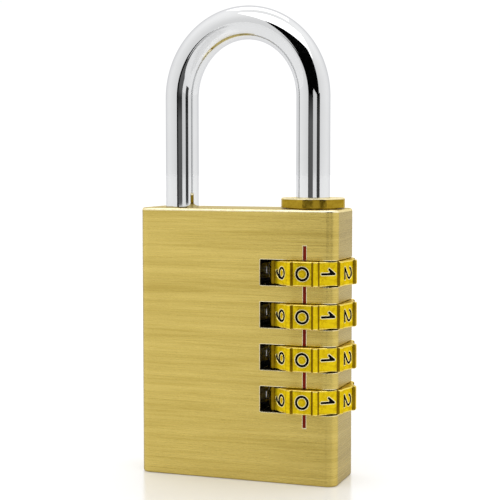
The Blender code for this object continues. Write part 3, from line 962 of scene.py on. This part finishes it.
def card(name, corners, glow, fade=None):
    """A studio card that only shows as a reflection; its glow can fade out between two heights."""
    shader = Shader(name, 0.0, 0.9)
    shader.principled.inputs["Base Color"].default_value = (0.001, 0.001, 0.001, 1.0)
    shader.principled.inputs["Specular IOR Level"].default_value = 0.0
    shader.principled.inputs["Emission Color"].default_value = (1.0, 1.0, 1.0, 1.0)
    shader.principled.inputs["Emission Strength"].default_value = glow
    if fade:
        place = shader.tree.nodes.new("ShaderNodeTexCoord")
        split = shader.tree.nodes.new("ShaderNodeSeparateXYZ")
        shader.link(place.outputs["Object"], split.inputs[0])
        fading = shader.tree.nodes.new("ShaderNodeMapRange")
        for socket, value in zip(("From Min", "From Max", "To Min", "To Max"), (*fade, glow, 0.0)):
            fading.inputs[socket].default_value = value
        shader.link(split.outputs["Z"], fading.inputs["Value"])
        shader.link(fading.outputs["Result"], shader.principled.inputs["Emission Strength"])
    bm = bmesh.new()
    bm.faces.new([bm.verts.new(corner) for corner in corners])
    made = piece(name, bm, shader.material)
    made.visible_camera = False
    made.visible_diffuse = False
    made.visible_shadow = False


def upright_card(name, distance, outline, glow=0.0, fade=None):
    """A flat upright card, its outline in azimuth (degrees) and height, its side edges at the distance."""
    azimuths = [azimuth for azimuth, _ in outline]
    middle = (min(azimuths) + max(azimuths)) / 2.0
    nearest = distance * math.cos(math.radians(max(azimuths) - middle))
    corners = []
    for azimuth, height in outline:
        reach = nearest / math.cos(math.radians(azimuth - middle))
        corners.append(towards(azimuth, 0.0) * reach + Vector((0.0, 0.0, height)))
    card(name, corners, glow, fade)


def overhead_card(name, azimuth, elevation, distance, size, glow):
    """A glowing card that faces the padlock's top; size is its width and height."""
    back = towards(azimuth, elevation)
    side = Vector((0.0, 0.0, 1.0)).cross(back).normalized()
    up = back.cross(side)
    middle = Vector((0.0, 0.0, BODY_TOP)) + back * distance
    half_side, half_up = side * size[0] / 2.0, up * size[1] / 2.0
    corners = [
        middle - half_side - half_up,
        middle + half_side - half_up,
        middle + half_side + half_up,
        middle - half_side + half_up,
    ]
    card(name, corners, glow)


def grey_ramp(tree, source, *stops):
    """Greys along a value's range; each stop is (place, grey)."""
    node = tree.nodes.new("ShaderNodeValToRGB")
    elements = node.color_ramp.elements
    for i, (place, value) in enumerate(stops):
        element = elements[i] if i < 2 else elements.new(place)
        element.position = place
        element.color = (value, value, value, 1.0)
    tree.links.new(source, node.inputs["Fac"])
    return node.outputs["Color"]


def make_room():
    """A white room, a little darker towards the camera's side and brighter behind and above."""
    world = bpy.data.worlds.new("studio")
    world.use_nodes = True
    tree = world.node_tree
    background = tree.nodes["Background"]
    background.inputs["Strength"].default_value = 1.7
    place = tree.nodes.new("ShaderNodeTexCoord")
    along = tree.nodes.new("ShaderNodeVectorMath")
    along.operation = "DOT_PRODUCT"
    along.inputs[1].default_value = towards(math.degrees(CAMERA_AZIMUTH), 0.0)
    half = tree.nodes.new("ShaderNodeMath")
    half.operation = "MULTIPLY_ADD"
    half.inputs[1].default_value = 0.5
    half.inputs[2].default_value = 0.5
    split = tree.nodes.new("ShaderNodeSeparateXYZ")
    tree.links.new(place.outputs["Generated"], along.inputs[0])
    tree.links.new(place.outputs["Generated"], split.inputs[0])
    tree.links.new(along.outputs["Value"], half.inputs[0])

    around = grey_ramp(tree, half.outputs["Value"], *AROUND)
    above = grey_ramp(tree, split.outputs["Z"], *ABOVE)
    mix = tree.nodes.new("ShaderNodeMix")
    mix.data_type = "RGBA"
    mix.blend_type = "MULTIPLY"
    mix.inputs["Factor"].default_value = 1.0
    tree.links.new(around, mix.inputs["A"])
    tree.links.new(above, mix.inputs["B"])
    tree.links.new(mix.outputs["Result"], background.inputs["Color"])
    bpy.context.scene.world = world
    bpy.context.scene.view_settings.view_transform = "Standard"


def strip(left, right, low, high):
    """The outline of a card between two azimuths and two heights."""
    return [(left, low), (right, low), (right, high), (left, high)]


def make_studio():
    make_room()
    make_floor()
    overhead_card("light_panel", 24.0, 57.0, 0.9, (1.1, 0.62), 2.4)
    overhead_card("rear_panel", -160.0, 70.0, 0.9, (0.7, 0.4), 2.2)
    fade = (0.074, 0.085)
    upright_card("card_left", 0.21, strip(-9.3, 18.5, 0.045, 0.09), 0.13, fade)
    upright_card("card_right", 0.21, strip(42.5, 63.0, 0.045, 0.09), 0.06, fade)
    upright_card("card_edge", 0.9, strip(-16.5, -3.0, 0.012, 0.2))
    low_edge = [(-10.5, 0.095), (14.0, 0.095), (22.0, 0.113), (44.0, 0.095), (55.0, 0.095)]
    upright_card("card_high", 0.45, low_edge + [(55.0, 0.44), (-10.5, 0.34)])


def main():
    finish_cad_nodes()
    make_body()
    make_index_line()
    make_dials()
    make_shackle()
    make_guide_nut()
    make_click_springs()
    make_reset_coil()
    make_plug()
    make_studio()
    make_camera()


main()
